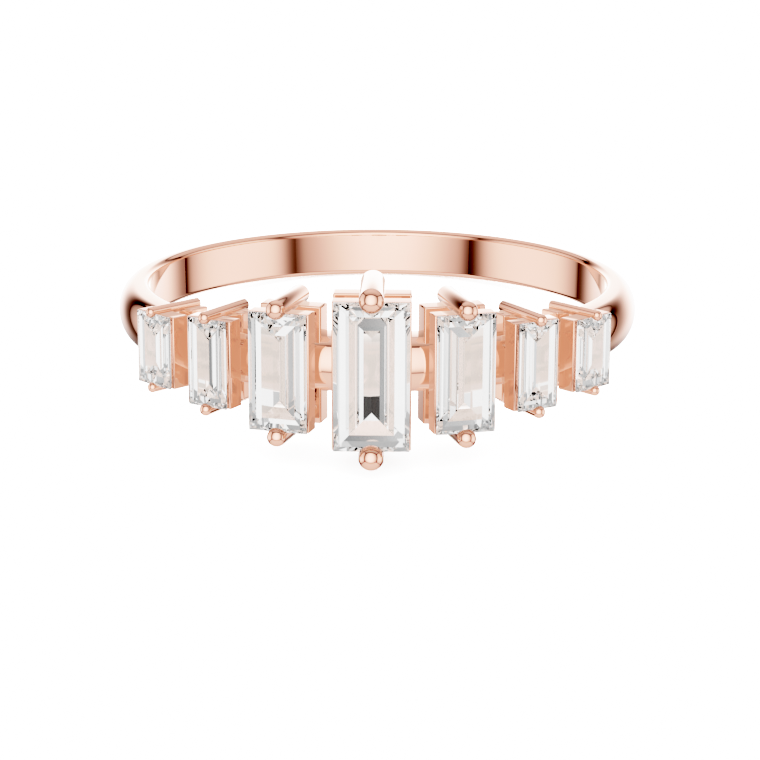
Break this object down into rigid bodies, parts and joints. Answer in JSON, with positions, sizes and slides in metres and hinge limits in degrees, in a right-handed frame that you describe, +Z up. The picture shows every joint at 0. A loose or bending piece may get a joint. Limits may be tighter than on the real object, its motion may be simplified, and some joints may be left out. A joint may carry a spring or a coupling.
{
  "type": "bar band ring",
  "caption": "Rose-gold finger ring with straight baguette stones graduated side by side, each in a two-rail setting with a round prong at either end.",
  "frame": {"origin": "under the middle of the ring's box, on the surface that the ring rests on", "axes": "+Z up from the resting surface, -Y towards the centre stone, +X along the row of stones"},
  "size_m": [0.019, 0.0214, 0.0064],
  "materials": {
    "rose_gold": "mirror-polished rose gold",
    "diamond": "clear step-cut stone"
  },
  "bodies": {
    "root": {"ring_metal": "rose_gold", "stone_centre": "diamond", "stone_left_inner": "diamond", "stone_left_middle": "diamond", "stone_left_outer": "diamond", "stone_right_inner": "diamond", "stone_right_middle": "diamond", "stone_right_outer": "diamond"}
  },
  "joints": []
}
